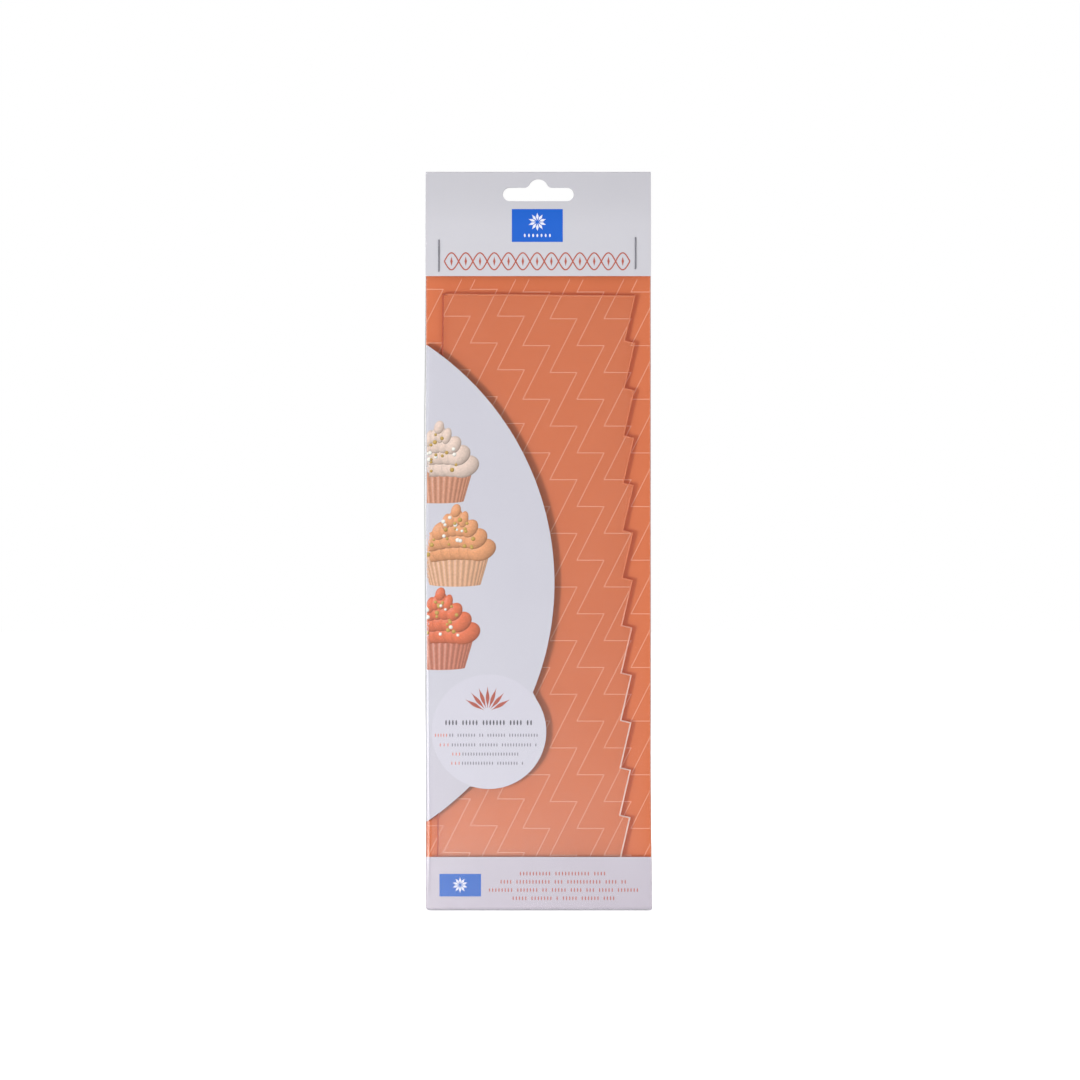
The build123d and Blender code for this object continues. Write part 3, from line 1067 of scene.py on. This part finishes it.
picture_left = card_left + 0.35
icing_turns = ((14.6, 15.2, 4.6), (19.2, 12.0, 4.2), (23.4, 8.6, 3.6), (27.2, 5.0, 3.2))
pearl_count = 26
shapes_each = 2 + sum(7 - turn_ for turn_ in range(len(icing_turns))) + pearl_count
picture_layers = []
picture_tones = []


def toned(colour, shade_):
    """A colour times a light level at each point; above one it is mixed towards white."""
    base = np.array(colour[:3])
    dark = base * np.minimum(shade_, 1.0)[..., None]
    return dark + (1.0 - base) * np.clip(shade_ - 1.0, 0.0, 1.0)[..., None]


def draw(x, z, colours):
    """Adds one drawn shape, a grid of points with a colour each, above the shapes before it. Past
    the crease it is cut off. Each cupcake starts again on the card, clear of the one below."""
    rows_, columns_ = x.shape
    x = np.maximum(x, picture_left).reshape(-1)
    lift = 0.005 + 0.0012 * (len(picture_layers) % shapes_each)
    points = np.column_stack([x, -(lobe_front(x) + lift), z.reshape(-1)])
    faces = grid_faces(rows_, columns_)
    picture_layers.append((points, faces[x[faces].max(axis=1) > picture_left + 1e-6]))
    picture_tones.append(colours.reshape(-1, 3))


def draw_round(centre, wide, tall, colour, sides=28, rings_=7, lean_=0.0):
    """A round or oval form lit from the upper left: brightness falls with its surface's turn."""
    turns = np.linspace(0.0, 2 * pi, sides + 1)
    out = np.linspace(0.0, 1.0, rings_)[:, None]
    u = out * np.cos(turns)
    v = out * np.sin(turns)
    front = np.sqrt(np.clip(1.0 - u**2 - v**2, 0.0, 1.0))
    light = 0.62 + 0.52 * (0.66 * front - 0.42 * u + 0.45 * v)
    draw(centre[0] + wide * u, centre[1] + tall * v + lean_ * u, toned(colour, light))


def draw_case(centre_x, foot, height, foot_half, top_half, colour, pleats):
    """A pleated paper case: a tapered band whose brightness swings with each pleat."""
    across = np.linspace(-1.0, 1.0, 12 * pleats + 1)[None, :]
    up = np.linspace(0.0, 1.0, 9)[:, None]
    turn_ = np.arcsin(across * 0.985)
    swing = np.cos(turn_ * pleats * 2.0)
    half_width = foot_half + (top_half - foot_half) * up
    x = centre_x + half_width * across
    z = foot + height * up + 0.55 * up * swing - 1.1 * (1 - up * 0.6) * np.sqrt(1 - (across * 0.97) ** 2)
    light = 0.72 + 0.20 * swing + 0.22 * np.cos(turn_ + 0.5) + 0.04 * up
    draw(x, z, toned(colour, light))


def draw_cupcake(centre_x, foot, colour, case_colour, pearl_colour, seed):
    """Case, four tapering turns of icing with a ridge each, and pearls scattered over them."""
    draw_case(centre_x, foot, 12.6, 10.6, 14.2, case_colour, 17)
    for turn_, (rise, wide, tall) in enumerate(icing_turns):
        for side in np.linspace(-1.0, 1.0, 7 - turn_):
            draw_round(
                (centre_x + side * wide * 0.72, foot + rise - 0.9 * side**2 + 0.5 * side),
                wide * 0.40, tall, colour, lean_=1.1,
            )
    draw_round((centre_x + 0.4, foot + 30.4), 2.1, 2.7, colour, lean_=0.5)
    scatter = np.random.default_rng(seed)
    for spot in range(pearl_count):
        rise = scatter.uniform(12.0, 27.5)
        spread = 13.6 * (1 - (rise - 12.0) / 22.0)
        size = scatter.uniform(0.55, 0.95)
        where = (centre_x + scatter.uniform(-spread, spread), foot + rise)
        draw_round(where, size, size, pearl_colour if spot % 3 else ink(250, 246, 238), 12, 4)


cream = ink(236, 212, 198)
amber = ink(236, 166, 118)
coral = ink(232, 122, 84)
mustard = ink(204, 168, 84)
draw_cupcake(-41.0, -196.0, coral, ink(206, 128, 104), mustard, 3)
draw_cupcake(-34.5, -161.5, amber, ink(228, 176, 140), mustard, 5)
draw_cupcake(-41.5, -127.0, cream, ink(214, 150, 120), mustard, 8)

picture_points, picture_faces = joined(picture_layers)
used, picture_faces = np.unique(picture_faces, return_inverse=True)
picture_faces = picture_faces.reshape(-1, 4)
picture = piece_from("printed_picture", picture_points[used], picture_faces, [picture_ink])
tone_layer = picture.data.color_attributes.new("tone", "FLOAT_COLOR", "POINT")
tones = np.concatenate(picture_tones)[used]
tone_layer.data.foreach_set("color", np.column_stack([tones, np.ones(len(tones))]).astype("f").ravel())
welded(picture, 0.0004)
thickened(picture, 0.006)
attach(picture, "sleeve")


# Staples
# Two staples of round galvanised wire. Each is pushed through the header, the pouch and the insert
# from the front, and its legs are clinched towards each other behind.
staple_steel = bpy.data.materials.new("staple_steel")
staple_steel.use_nodes = True
tree = staple_steel.node_tree
shader = tree.nodes["Principled BSDF"]
shader.inputs["Metallic"].default_value = 1.0
shader.inputs["Base Color"].default_value = ink(150, 150, 158)
polish = ranged(tree, noise(tree, 900.0), 0.0, 1.0, 0.28, 0.5)
tree.links.new(polish, shader.inputs["Roughness"])
for name in ("left_staple", "right_staple"):
    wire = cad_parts[name]
    wire.data.materials.clear()
    wire.data.materials.append(staple_steel)
